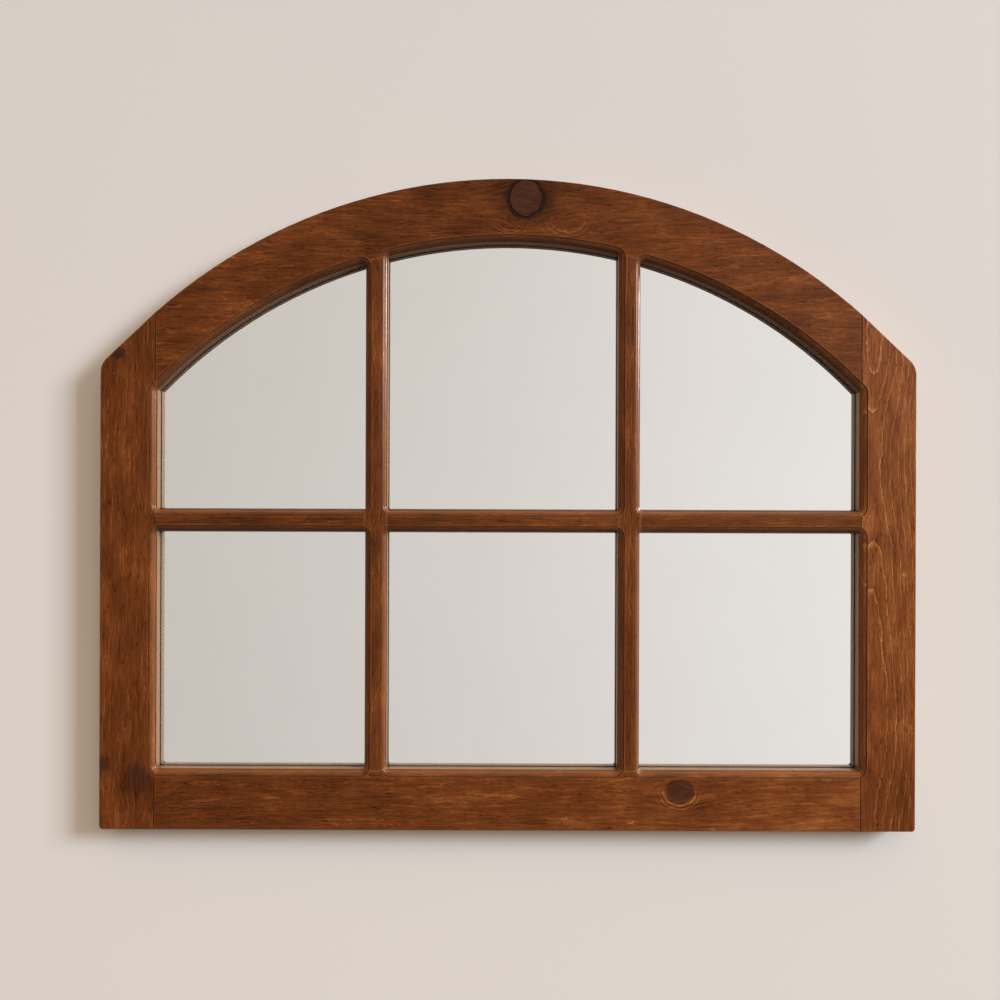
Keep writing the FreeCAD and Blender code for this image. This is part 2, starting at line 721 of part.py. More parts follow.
def offset_clip(name):
    """A steel offset clip. Its foot lies on the frame's back, a step goes down the rebate's wall,
    and its toe bears on the backing board. Z is 0 on that wall, and grows towards the board."""
    body = new_body(name)
    sketch = new_sketch(body, name + "_side", "YZ_Plane", "-1 * clip_width / 2")
    draw_polygon(sketch, [
        ("0", "clip_gap - clip_foot"),
        ("clip_gauge", "clip_gap - clip_foot"),
        ("clip_gauge", "clip_gap + clip_gauge"),
        ("clip_gauge - backing_recess", "clip_gap + clip_gauge"),
        ("clip_gauge - backing_recess", "clip_gap + clip_toe"),
        ("-1 * backing_recess", "clip_gap + clip_toe"),
        ("-1 * backing_recess", "clip_gap"),
        ("0", "clip_gap"),
    ])
    pad(body, sketch, "clip_width")
    side, heel, toe = (size(t) for t in ("clip_width / 2", "clip_gap - clip_foot", "clip_gap + clip_toe"))
    ease(body, "Fillet", name + "_corners", "clip_round",
         lambda p: same(abs(p.x), side) and (same(p.z, heel) or same(p.z, toe)))
    hole = new_sketch(body, name + "_hole", offset=str(SPARE))
    draw_holes(hole, "clip_screw_diameter / 2 + shank_gap", ["-1 * clip_hole_inset"])
    pocket(body, hole, f"clip_gauge + 2 * {SPARE}")
    return body


def clip_places():
    """(member, x, z, angle) of each clip on the rebate's wall, as expressions."""
    places = []
    for n in range(BOTTOM_CLIPS):
        share = 2 * n / (BOTTOM_CLIPS - 1) - 1
        places.append(("bottom", f"{share} * ({REBATE_EDGE} - clip_end_inset)", REBATE_FLOOR, "0"))
    low, high = f"({REBATE_FLOOR} + clip_end_inset)", f"({HEAD_JOINT_FOOT} - clip_end_inset)"
    for n in range(STILE_CLIPS):
        z = f"{low} + {n / (STILE_CLIPS - 1)} * ({high} - {low})"
        places.append(("left", f"-1 * {REBATE_EDGE}", z, "90"))
        places.append(("right", REBATE_EDGE, z, "270"))
    span = f"(asin({REBATE_EDGE} / {REBATE_RADIUS}) / 1 deg - clip_end_inset / {REBATE_RADIUS} * 180 / pi)"
    for n in range(HEAD_CLIPS):
        angle = f"({2 * n / (HEAD_CLIPS - 1) - 1} * {span})"
        x, z = f"{REBATE_RADIUS} * sin({angle})", f"{SIGHT_CENTRE} + {REBATE_RADIUS} * cos({angle})"
        places.append(("head", x, z, f"180 + {angle}"))
    return places


# ---------------------------------------------------------------- hangers and bumpers


def strap(name):
    """A hanger strap, curled round the ring's bar at its top. Z is 0 on the hinge line."""
    body = new_body(name)
    sketch = new_sketch(body, name + "_side", "YZ_Plane", "-1 * strap_width / 2")
    bore, outer, gauge = size(KNUCKLE_BORE), size(KNUCKLE_RADIUS), size("strap_gauge")
    middle, foot, lip = (outer, 0), -size(f"{LOWER_SCREW} + strap_end"), math.radians(CURL_END)
    ends = [(outer + r * math.cos(lip), r * math.sin(lip)) for r in (bore, outer)]
    edges = [
        line((0, foot), (gauge, foot)),
        line((gauge, foot), (gauge, 0)),
        arc(middle, bore, ends[0], (gauge, 0)),
        line(*ends),
        arc(middle, outer, ends[1], (0, 0)),
        line((0, 0), (0, foot)),
    ]
    # The curl's two arcs run smoothly into the strap's two faces.
    end, face, inside, _, outside, back = draw_loop(sketch, edges, smooth=(1, 4))
    level(sketch, end, f"-1 * ({LOWER_SCREW} + strap_end)")
    upright(sketch, back, "0")
    sketch.addConstraint(Sketcher.Constraint("Vertical", face))
    sketch.addConstraint(Sketcher.Constraint("PointOnObject", outside, Point.CENTRE, Axis.ACROSS))
    sketch.addConstraint(Sketcher.Constraint("Coincident", inside, Point.CENTRE, outside, Point.CENTRE))
    for edge, radius in ((inside, KNUCKLE_BORE), (outside, KNUCKLE_RADIUS)):
        hold(sketch, "Radius", (edge,), radius)
        hold_y(sketch, edge, Point.START, f"{radius} * sin({CURL_END})")
    pad(body, sketch, "strap_width")
    side = size("strap_width / 2")
    ease(body, "Fillet", name + "_end", "strap_end_round",
         lambda p: same(abs(p.x), side) and same(p.z, foot))
    holes = new_sketch(body, name + "_holes", offset=str(SPARE))
    draw_holes(holes, "strap_screw_diameter / 2 + shank_gap",
               [f"-1 * {UPPER_SCREW}", f"-1 * {LOWER_SCREW}"])
    pocket(body, holes, f"strap_gauge + 2 * {SPARE}")
    return body


def hanging_ring(name):
    """A D ring that hangs from its bar, of wire bent round bar, legs and bow."""
    body = new_body(name)
    half, reach, bend = size(RING_HALF_WIDTH), size(RING_REACH), size("ring_corner")
    bow = (0, half - reach)
    path = new_sketch(body, name + "_centre_line")
    edges = [
        line((bend - half, 0), (half - bend, 0)),
        arc((half - bend, -bend), bend, (half, -bend), (half - bend, 0)),
        line((half, -bend), (half, bow[1])),
        arc(bow, half, (-half, bow[1]), (half, bow[1])),
        line((-half, bow[1]), (-half, -bend)),
        arc((bend - half, -bend), bend, (bend - half, 0), (-half, -bend)),
    ]
    bar, right_bend, right_leg, round_end, left_leg, left_bend = draw_loop(path, edges, smooth=range(6))
    level(path, bar, "0")
    upright(path, right_leg, RING_HALF_WIDTH)
    upright(path, left_leg, f"-1 * {RING_HALF_WIDTH}")
    hold_y(path, round_end, Point.CENTRE, f"{RING_HALF_WIDTH} - {RING_REACH}")
    for corner in (right_bend, left_bend):
        hold(path, "Radius", (corner,), "ring_corner")
    wire = new_sketch(body, name + "_wire", "YZ_Plane")
    draw_holes(wire, "wire_diameter / 2", ["0"])
    sweep(body, wire, path)
    return body


def bumper(name):
    """A tapered rubber bumper with an eased rim, stuck to the frame's back."""
    body = new_body(name)
    sketch = new_sketch(body, name + "_half_section", "XY_Plane")
    draw_polygon(sketch, [
        ("0", "0"),
        ("bumper_diameter / 2", "0"),
        ("bumper_diameter / 2 - bumper_taper", WALL),
        ("0", WALL),
    ])
    turn(body, sketch)
    rim = size(WALL)
    ease(body, "Fillet", name + "_rim", "bumper_round", lambda p: same(p.y, rim))
    return body


# ---------------------------------------------------------------- the mirror, put together

pieces = []


def finish(piece, x="0", y="0", z="0"):
    """Moves a finished piece from the bench to its place on the wall."""
    place(piece, x, f"{y} - {WALL}", f"{z} - {HANGING_HEIGHT}")
    pieces.append(piece)


# Plate and backing
finish(arched_sheet("mirror_plate", f"{REBATE_DEPTH} - plate_thickness", "plate_thickness"))
finish(arched_sheet("backing_board", "backing_recess", "backing_thickness"))

# Offset clips, their screws, and the screws' holes in each member of the frame
holes = {"bottom": [], "left": [], "right": [], "head": []}
clip = offset_clip("clip")
clip_screw = pan_screw("clip_screw", "clip_screw_diameter", "clip_screw_length",
                       "clip_screw_head", "clip_screw_rise", "clip_gauge")
clip_hole = screw_hole("clip_screw_hole", "clip_screw_diameter", "clip_screw_length", "clip_gauge")
clips, clip_screws = [], []
for number, (member, x, z, angle) in enumerate(clip_places(), start=1):
    clips.append(copy_of(clip, f"clip_{number}", x, "0", z, angle))
    x, z = f"{x} - clip_hole_inset * sin({angle})", f"{z} - clip_hole_inset * cos({angle})"
    clip_screws.append(copy_of(clip_screw, f"clip_screw_{number}", x, "0", z))
    holes[member].append(copy_of(clip_hole, f"clip_screw_hole_{number}", x, "0", z))
finish(group("retainer_clips", clips))
finish(group("clip_screws", clip_screws))

# Dowels, two in each of the four joints between a rail and a stile
dowel_heights = [
    ("bottom", "foot_dowel_inset"),
    ("bottom", f"{REBATE_FLOOR} - foot_dowel_inset"),
    ("head", f"{HEAD_JOINT_FOOT} + head_dowel_inset"),
    ("head", f"{HEAD_JOINT_TOP} - head_dowel_inset"),
]
one_dowel, bore = dowel("dowel"), dowel_hole("dowel_hole")
dowels = []
for stile, side in (("left", -1), ("right", 1)):
    for rail, z in dowel_heights:
        x, y, number = f"{side} * {OPENING}", "-1 * frame_thickness / 2", len(dowels) + 1
        dowels.append(copy_of(one_dowel, f"dowel_{number}", x, y, z))
        hole = copy_of(bore, f"dowel_hole_{number}", x, y, z)
        holes[stile].append(hole)
        holes[rail].append(hole)
finish(group("frame_dowels", dowels))

# Hangers and bumpers, one of each on each stile
strap_screw = pan_screw("strap_screw", "strap_screw_diameter", "strap_screw_length",
                        "strap_screw_head", "strap_screw_rise", "strap_gauge")
strap_hole = screw_hole("strap_screw_hole", "strap_screw_diameter", "strap_screw_length", "strap_gauge")
for stile, side in (("left", -1), ("right", 1)):
    x = f"{side} * {HANGER_X}"
    finish(strap(f"{stile}_hanger_strap"), x, "0", HINGE_HEIGHT)
    finish(hanging_ring(f"{stile}_hanger_ring"), x, KNUCKLE_RADIUS, HINGE_HEIGHT)
    finish(bumper(f"{stile}_bumper"), x, "0", "bumper_height")
    screws = []
    for level_name, drop in (("upper", UPPER_SCREW), ("lower", LOWER_SCREW)):
        name, z = f"{stile}_{level_name}_screw", f"{HINGE_HEIGHT} - {drop}"
        screws.append(copy_of(strap_screw, name, x, "0", z))
        holes[stile].append(copy_of(strap_hole, name + "_hole", x, "0", z))
    finish(group(f"{stile}_hanger_screws", screws))

# Glazing bars and the frame, each blank routed and bored
lower, upper = light_cutters()
rebate = rebate_cutter("rebate")
reach = "tenon_length + mortise_gap"
cross_mortises = mortise_cutter("cross_bar_mortises", cross_tenons(reach))
bar_mortises = []
for bar, middle, lights in (("left", LEFT_BAR, slice(0, 2)), ("right", RIGHT_BAR, slice(1, 3))):
    name = f"{bar}_glazing_bar"
    bar_mortises.append(mortise_cutter(f"{bar}_bar_mortises", upright_tenons(middle, reach)))
    finish(cut(name, upright_bar_blank(name + "_blank", middle), lower[lights] + upper[lights]))
finish(cut("cross_bar", cross_bar_blank("cross_bar_blank"), lower + upper))
for stile, side, lights in (("left", -1, [lower[0], upper[0]]), ("right", 1, [lower[-1], upper[-1]])):
    name = f"{stile}_stile"
    cutters = lights + [rebate, cross_mortises] + holes[stile]
    finish(cut(name, stile_blank(name + "_blank", side), cutters))
head_cutters = upper + [rebate] + bar_mortises + holes["head"]
finish(cut("arch_rail", head_blank("arch_rail_blank"), head_cutters))
foot_cutters = lower + [rebate] + bar_mortises + holes["bottom"]
finish(cut("bottom_rail", bottom_rail_blank("bottom_rail_blank"), foot_cutters))

doc.recompute()
for thing in doc.Objects:
    if {"Invalid", "Error"} & set(thing.State):
        raise RuntimeError(f"{thing.Label} is {thing.State}")
for piece in pieces:
    if piece.Shape.isNull() or not piece.Shape.isValid():
        raise RuntimeError(f"{piece.Label} has no valid shape")

os.makedirs("parts", exist_ok=True)
for piece in pieces:
    piece.Shape.exportStep(f"parts/{piece.Label}.step")
print(f"{len(pieces)} nodes, {sum(len(piece.Shape.Solids) for piece in pieces)} solids")
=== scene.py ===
"""An arched window mirror on its wall: seven stained pine members round one silvered plate.

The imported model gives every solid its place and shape. This script gives each one the finish of
the real thing, adds what is too fine for the solids, and lights the mirror on a pale wall. It
follows the mirror from the front of its frame to the fittings on its back."""

import math

import bpy
import numpy as np
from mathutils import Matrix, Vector


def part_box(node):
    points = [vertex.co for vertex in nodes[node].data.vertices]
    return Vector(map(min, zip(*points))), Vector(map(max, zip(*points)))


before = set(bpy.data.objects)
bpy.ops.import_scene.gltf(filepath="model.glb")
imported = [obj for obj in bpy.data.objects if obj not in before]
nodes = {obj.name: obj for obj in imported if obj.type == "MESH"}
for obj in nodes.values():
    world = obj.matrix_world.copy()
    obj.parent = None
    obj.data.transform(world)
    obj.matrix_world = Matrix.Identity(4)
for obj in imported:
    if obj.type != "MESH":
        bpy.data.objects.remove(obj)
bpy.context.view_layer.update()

# -------------------------------------------------------------------------------------------------
# The viewpoint: a lens at the height of the middle of the mirror, a little under 1.4 m in front of
# its face and a finger's width left of centre, level but for a fifth of a degree.
# -------------------------------------------------------------------------------------------------
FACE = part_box("left_stile")[0].y
LENS_TO_FACE = 1.351
LENS_LEFT_OF_CENTRE = 0.0116
LENS_HEIGHT = -0.118
lens = bpy.data.cameras.new("viewpoint")
lens.sensor_width = 36.0
lens.lens = 34.0
viewpoint = bpy.data.objects.new("viewpoint", lens)
viewpoint.location = (-LENS_LEFT_OF_CENTRE, FACE - LENS_TO_FACE, LENS_HEIGHT)
viewpoint.rotation_euler = (math.radians(90), math.radians(-0.2), 0)
bpy.context.scene.collection.objects.link(viewpoint)
bpy.context.scene.camera = viewpoint

bpy.context.scene.view_settings.view_transform = "Standard"


# -------------------------------------------------------------------------------------------------
# The room: a painted wall that the mirror hangs on, and a pale floor well below it. Both are plain
# sheets that show and shade on their room side only, so that the mirror's back can be seen too.
# -------------------------------------------------------------------------------------------------
def linear(hex_colour):
    """An sRGB hex colour as linear RGBA: c / 12.92 in the darks, and elsewhere
    ((c + 0.055) / 1.055) ^ 2.4."""
    c = np.array([int(hex_colour[i : i + 2], 16) for i in (1, 3, 5)]) / 255
    straight = np.where(c <= 0.04045, c / 12.92, ((c + 0.055) / 1.055) ** 2.4)
    return (*straight.tolist(), 1.0)


def add(tree, kind, *inputs, sockets=None, stops=None, **settings):
    """Adds one node with its settings. Its inputs, in their order, and its sockets, by name, are
    values or the outputs that feed them, and stops are a ramp's (place, colour) pairs. Gives the
    node's first output in use."""
    node = tree.nodes.new("ShaderNode" + kind)
    for name, value in settings.items():
        setattr(node, name, value)
    for name, value in [*enumerate(inputs), *(sockets or {}).items()]:
        if isinstance(value, bpy.types.NodeSocket):
            tree.links.new(value, node.inputs[name])
        else:
            node.inputs[name].default_value = value
    if stops:
        ramp = node.color_ramp.elements
        while len(ramp) < len(stops):
            ramp.new(0.5)
        for element, (place, colour) in zip(ramp, stops):
            element.position = place
            element.color = linear(colour)
    return next((output for output in node.outputs if output.enabled), None)


def new_material(name):
    """An empty material by that name, and its node tree."""
    material = bpy.data.materials.new(name)
    material.use_nodes = True
    material.node_tree.nodes.clear()
    return material, material.node_tree


def one_sided_paint(name, colour, bounced):
    """Matt paint, rolled on with a stipple 3.3 mm across, which hands on only its bounced share of
    the light. The view and the lamps' light go through from behind: the paint is mixed out where a
    face is seen from its back or a shadow ray asks."""
    material, tree = new_material(name)
    place = add(tree, "TexCoord").node.outputs["Object"]
    roller = add(tree, "TexNoise", sockets={"Vector": place, "Scale": 300.0, "Detail": 2.0})
    stipple = add(
        tree, "Bump", sockets={"Height": roller, "Strength": 0.1, "Distance": 0.0003}
    )
    rays = add(tree, "LightPath").node.outputs
    darker = tuple(bounced * channel for channel in linear(colour)[:3]) + (1.0,)
    shown = add(tree, "MixRGB", rays["Is Diffuse Ray"], linear(colour), darker)
    paint = add(tree, "BsdfDiffuse", shown, 0.5, stipple)
    clear = add(tree, "BsdfTransparent")
    behind = add(tree, "NewGeometry").node.outputs["Backfacing"]
    through = add(tree, "Math", behind, rays["Is Shadow Ray"], operation="MAXIMUM")
    add(tree, "OutputMaterial", add(tree, "MixShader", through, paint, clear))
    return material


MM = 0.001
WALL_GAP = 0.5 * MM
FLOOR = -1.9
ROOM_WIDTH, ROOM_DEPTH, ROOM_HEIGHT = 14.0, 3.2, 4.4


def sheet(name, corners, material):
    """A flat sheet of the room, its corners given counter-clockwise as seen from the room."""
    mesh = bpy.data.meshes.new(name)
    mesh.from_pydata(corners, [], [list(range(len(corners)))])
    mesh.materials.append(material)
    made = bpy.data.objects.new(name, mesh)
    bpy.context.scene.collection.objects.link(made)


SIDE = ROOM_WIDTH / 2
sheet(
    "room_wall",
    [
        (-SIDE, WALL_GAP, FLOOR),
        (SIDE, WALL_GAP, FLOOR),
        (SIDE, WALL_GAP, FLOOR + ROOM_HEIGHT),
        (-SIDE, WALL_GAP, FLOOR + ROOM_HEIGHT),
    ],
    one_sided_paint("wall_paint", "#eae9e6", 0.8),
)
sheet(
    "room_floor",
    [
        (-SIDE, -ROOM_DEPTH, FLOOR),
        (SIDE, -ROOM_DEPTH, FLOOR),
        (SIDE, ROOM_DEPTH, FLOOR),
        (-SIDE, ROOM_DEPTH, FLOOR),
    ],
    one_sided_paint("floor_paint", "#dad5d0", 0.1),
)

# The room in front grows lighter from left to right, as towards a window on the right. Gloss and
# the mirror show it as it is; matt surfaces get most of it from ahead and a little above, and
# warmer; and the view past the wall shows a plain pale backdrop.
world = bpy.data.worlds.new("pale_room")
world.use_nodes = True
world.node_tree.nodes.clear()
sky = world.node_tree
direction = add(sky, "TexCoord").node.outputs["Generated"]
sideways, _, upwards = add(sky, "SeparateXYZ", direction).node.outputs
left_to_right = add(
    sky,
    "ValToRGB",
    add(sky, "MapRange", sideways, -1.0, 1.0),
    stops=[
        (0.0, "#4e453c"),
        (0.26, "#a9a098"),
        (0.33, "#cbc5bf"),
        (0.5, "#dad4cf"),
        (0.68, "#ebe7e4"),
        (1.0, "#fbf9f7"),
    ],
)
floor_to_ceiling = add(
    sky,
    "ValToRGB",
    add(sky, "MapRange", upwards, -1.0, 1.0),
    stops=[(0.05, "#5a4f45"), (0.25, "#fbfbfb"), (0.5, "#ffffff"), (1.0, "#f6f4f2")],
)
room_colour = add(
    sky, "MixRGB", 1.0, left_to_right, floor_to_ceiling, blend_type="MULTIPLY"
)
AHEAD_AND_ABOVE = (0, -0.84, 0.54)
ahead = add(sky, "VectorMath", direction, AHEAD_AND_ABOVE, operation="DOT_PRODUCT")
from_ahead = add(
    sky,
    "ValToRGB",
    ahead,
    stops=[(0.4, "#3a2e24"), (0.7, "#b8a28e"), (0.95, "#ffeedc")],
)
warm = add(sky, "MixRGB", 1.0, room_colour, from_ahead, blend_type="MULTIPLY")
soft_light = add(sky, "Background", warm, 1.75)
mirrored = add(sky, "Background", room_colour, 1.0)
backdrop = add(sky, "Background", linear("#e6e1dc"), 1.0)
rays = add(sky, "LightPath").node.outputs
lit = add(sky, "MixShader", rays["Is Glossy Ray"], soft_light, mirrored)
add(sky, "OutputWorld", add(sky, "MixShader", rays["Is Camera Ray"], lit, backdrop))
bpy.context.scene.world = world


def lamp(name, place, aim, width, watts, colour="#ffffff"):
    """A square soft box at place, turned to face aim."""
    light = bpy.data.lights.new(name, "AREA")
    light.size = width
    light.energy = watts
    light.color = linear(colour)[:3]
    made = bpy.data.objects.new(name, light)
    made.location = place
    towards = Vector(aim) - Vector(place)
    made.rotation_euler = towards.to_track_quat("-Z", "Y").to_euler()
    bpy.context.scene.collection.objects.link(made)


MIDDLE = (0.0, 0.0, -0.12)
lamp("window_side", (5.0, -3.4, 1.9), MIDDLE, 2.1, 385, "#eaf4ff")
lamp("behind_right", (1.3, 2.3, 0.9), MIDDLE, 1.6, 60)
lamp("behind_left", (-1.6, 2.1, -0.2), MIDDLE, 1.6, 30)

# -------------------------------------------------------------------------------------------------
# The frame's timber: planed pine, knots left in, moulded with a router, wiped with a walnut stain
# and rubbed with satin wax oil. Softwood stains in reverse: the soft early wood drinks it and goes
# dark, the hard late wood stays light, so the rings are thin pale lines on brown. The stain is
# dark in the joints at the stiles. Painted shade darkens the quirk of the moulding, the inner
# corners, the foot of the sight edges against the glass and the edges that look down. The arrises
# and the crest of the moulding are paler, partly where the stain rubbed off and partly as a
# painted highlight. The sight edges, inside the moulding, were wiped nearly bare.
# -------------------------------------------------------------------------------------------------
STILE_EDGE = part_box("bottom_rail")[1].x
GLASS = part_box("mirror_plate")[0].y
QUIRK = 1.5 * MM
SIGHT_EDGE = 9.5 * MM
HAIRLINE = 0.8 * MM
FOOT_OF_SIGHT_EDGE = 1.1 * MM
REACH_OF_LIGHTS = 0.3
BLACK_STAIN_AND_SHADE = linear("#160903")
WORN_STAIN_AND_HIGHLIGHT = linear("#a86c3a")


def on_board(upright, across, height):
    """A place on a board's face, in its grain's space: x along it, y to the back, z across."""
    return (height, 0, -across) if upright else (across, 0, height)


def drawn_round_knots(tree, grain, upright, knots):
    """The grain as its knots bend it, and how much of each place is heart, crack and darker halo.

    d is the distance from the knot's middle in knot radii, a little ragged. The grain is drawn in
    towards the knot's axis by pull * exp(-0.35 d^2), which spreads its lines round it. The heart
    ends softly, or in a crack and a dark ring; pale arcs lie below it, three to a radius."""
    ragged = add(tree, "TexNoise", sockets={"Vector": grain, "Scale": 0.09, "Detail": 3.0})
    down = on_board(upright, 0, -1)
    wood, heart, crack, halo = grain, 0.0, 0.0, 0.0
    for one in knots:
        wide, high = one["radii"]
        middle = on_board(upright, *one["at"])
        apart = add(tree, "VectorMath", grain, middle, operation="SUBTRACT")
        per_radius = on_board(upright, -1 / wide, 1 / high)
        scaled = add(tree, "VectorMath", apart, per_radius, operation="MULTIPLY")
        length = add(tree, "VectorMath", scaled, operation="LENGTH").node.outputs["Value"]
        d = add(tree, "Math", ragged, 0.3, length, operation="MULTIPLY_ADD")
        d = add(tree, "Math", d, 0.15, operation="SUBTRACT")
        squared = add(tree, "Math", d, d, operation="MULTIPLY")
        squared = add(tree, "Math", squared, -0.35, operation="MULTIPLY")
        near = add(tree, "Math", squared, operation="EXPONENT")
        pull = (0, 0, -one["pull"])
        drawn = add(tree, "VectorMath", apart, pull, operation="MULTIPLY")
        drawn = add(tree, "VectorMath", drawn, near, operation="MULTIPLY")
        wood = add(tree, "VectorMath", wood, drawn, operation="ADD")
        edge = (1.0 + one["soft"], 1.0 - one["soft"], 0.0, one["heart"])
        inside = add(tree, "MapRange", d, *edge, interpolation_type="SMOOTHSTEP")
        heart = add(tree, "Math", heart, inside, operation="MAXIMUM")
        rim = add(tree, "Math", d, 1.03, 0.035, operation="COMPARE")
        rim = add(tree, "Math", rim, one["crack"], operation="MULTIPLY")
        crack = add(tree, "Math", crack, rim, operation="MAXIMUM")
        ring = add(tree, "MapRange", d, 1.3, 1.05, 0.0, 0.35 * one["crack"])
        halo = add(tree, "Math", halo, ring, operation="ADD")
        halo = add(tree, "Math", near, one["halo"], halo, operation="MULTIPLY_ADD")
        below = add(tree, "VectorMath", scaled, down, operation="DOT_PRODUCT")
        below = add(tree, "MapRange", below.node.outputs["Value"], -0.5, 0.9)
        arcs = add(tree, "Math", d, 3.0, operation="MULTIPLY")
        arcs = add(tree, "Math", arcs, operation="FRACT")
        arcs = add(tree, "MapRange", arcs, 0.72, 0.96, interpolation_type="SMOOTHSTEP")
        fading = add(tree, "MapRange", d, 2.1, 1.0, 0.0, -one["arcs"])
        arcs = add(tree, "Math", arcs, fading, operation="MULTIPLY")
        outside = add(tree, "Math", d, 0.95, operation="GREATER_THAN")
        arcs = add(tree, "Math", arcs, outside, operation="MULTIPLY")
        halo = add(tree, "Math", arcs, below, halo, operation="MULTIPLY_ADD")
    return wood, heart, crack, halo


def stain_and_painted_light_on_edges(tree, place):
    """Where painted shade and the stain in the joints darken, where worn stain and a painted
    highlight lighten, where the wood was wiped bare and where a joint opens, all from 0 to 1; and
    how far the cutter burnished the wood, 1 from the quirk on.

    Painted shade lies in inner corners, found by occlusion within 6 mm, in the quirk, against the
    glass and on the edges that look down; the stain lies dark in the joints at the stiles. The
    arrises, found by occlusion within 2.5 mm inside the wood, and the crest of the moulding are
    paler: partly worn stain, partly a painted highlight. The moulding is told from the frame's
    outer edges by its normal, which doesn't point far away from the middle."""
    corner = add(tree, "AmbientOcclusion", samples=4, sockets={"Distance": 6 * MM})
    arris = add(
        tree, "AmbientOcclusion", samples=4, inside=True, sockets={"Distance": 2.5 * MM}
    )
    corner, arris = corner.node.outputs["AO"], arris.node.outputs["AO"]
    across, depth, _ = add(tree, "SeparateXYZ", place).node.outputs
    facing = add(tree, "NewGeometry").node.outputs["Normal"]
    away = add(tree, "VectorMath", place, MIDDLE, operation="SUBTRACT")
    away = add(tree, "VectorMath", facing, away, operation="DOT_PRODUCT")
    away = away.node.outputs["Value"]
    inner = add(tree, "Math", away, REACH_OF_LIGHTS, operation="LESS_THAN")
    before_glass = add(tree, "Math", depth, GLASS, operation="LESS_THAN")
    moulded = add(tree, "Math", inner, before_glass, operation="MULTIPLY")

    from_middle = add(tree, "Math", across, operation="ABSOLUTE")
    joint = add(tree, "Math", from_middle, STILE_EDGE, HAIRLINE, operation="COMPARE")
    on_face = add(tree, "Math", depth, FACE + 0.3 * MM, operation="LESS_THAN")
    joint = add(tree, "Math", joint, on_face, operation="MULTIPLY")
    # A dark line in the quirk of the moulding: painted shade under its step.
    quirk = add(
        tree, "Math", depth, FACE + 0.65 * QUIRK, 0.45 * QUIRK, operation="COMPARE"
    )
    enclosed = add(tree, "MapRange", corner, 0.98, 0.97, 0.0, 0.55)
    quirk = add(tree, "Math", quirk, enclosed, operation="MULTIPLY")
    # A dark line at the foot of the sight edges against the glass: painted shade.
    foot = add(tree, "Math", depth, GLASS, FOOT_OF_SIGHT_EDGE, operation="COMPARE")
    foot = add(tree, "Math", foot, inner, operation="MULTIPLY")
    # The edges that look down go darker: painted shade.
    underside = add(tree, "VectorMath", facing, (0, 0, -1), operation="DOT_PRODUCT")
    underside = underside.node.outputs["Value"]
    underside = add(tree, "MapRange", underside, 0.05, 0.75, 0.0, 0.8)
    # Inner corners go darker: painted shade, found by occlusion. The dark joints join it below.
    painted_shade_and_joint_stain = add(
        tree, "MapRange", corner, 0.75, 0.3, 0.0, 0.8, interpolation_type="SMOOTHSTEP"
    )
    for dark_place in (quirk, joint, foot, underside):
        painted_shade_and_joint_stain = add(tree, "Math", painted_shade_and_joint_stain, dark_place, operation="MAXIMUM")
    painted_shade_and_joint_stain = add(tree, "Math", painted_shade_and_joint_stain, 0.85, operation="MULTIPLY")

    # Arrises and the crest of the moulding go paler: partly worn stain, partly a painted
    # highlight.
    worn_and_painted_highlight = add(
        tree, "MapRange", arris, 0.9, 0.45, 0.0, 0.5, interpolation_type="SMOOTHSTEP"
    )
    crest = add(tree, "MapRange", depth, FACE + QUIRK, FACE + 3 * QUIRK, 0.0, 0.35)
    crest = add(tree, "Math", crest, moulded, operation="MULTIPLY")
    worn_and_painted_highlight = add(tree, "Math", worn_and_painted_highlight, crest, operation="MAXIMUM")

    sight_edge = FACE + SIGHT_EDGE
    bare = add(tree, "MapRange", depth, sight_edge, sight_edge + 0.5 * MM)
    bare = add(tree, "Math", bare, moulded, operation="MULTIPLY")
    burnished = add(tree, "MapRange", depth, FACE, FACE + QUIRK)
    return painted_shade_and_joint_stain, worn_and_painted_highlight, bare, joint, burnished


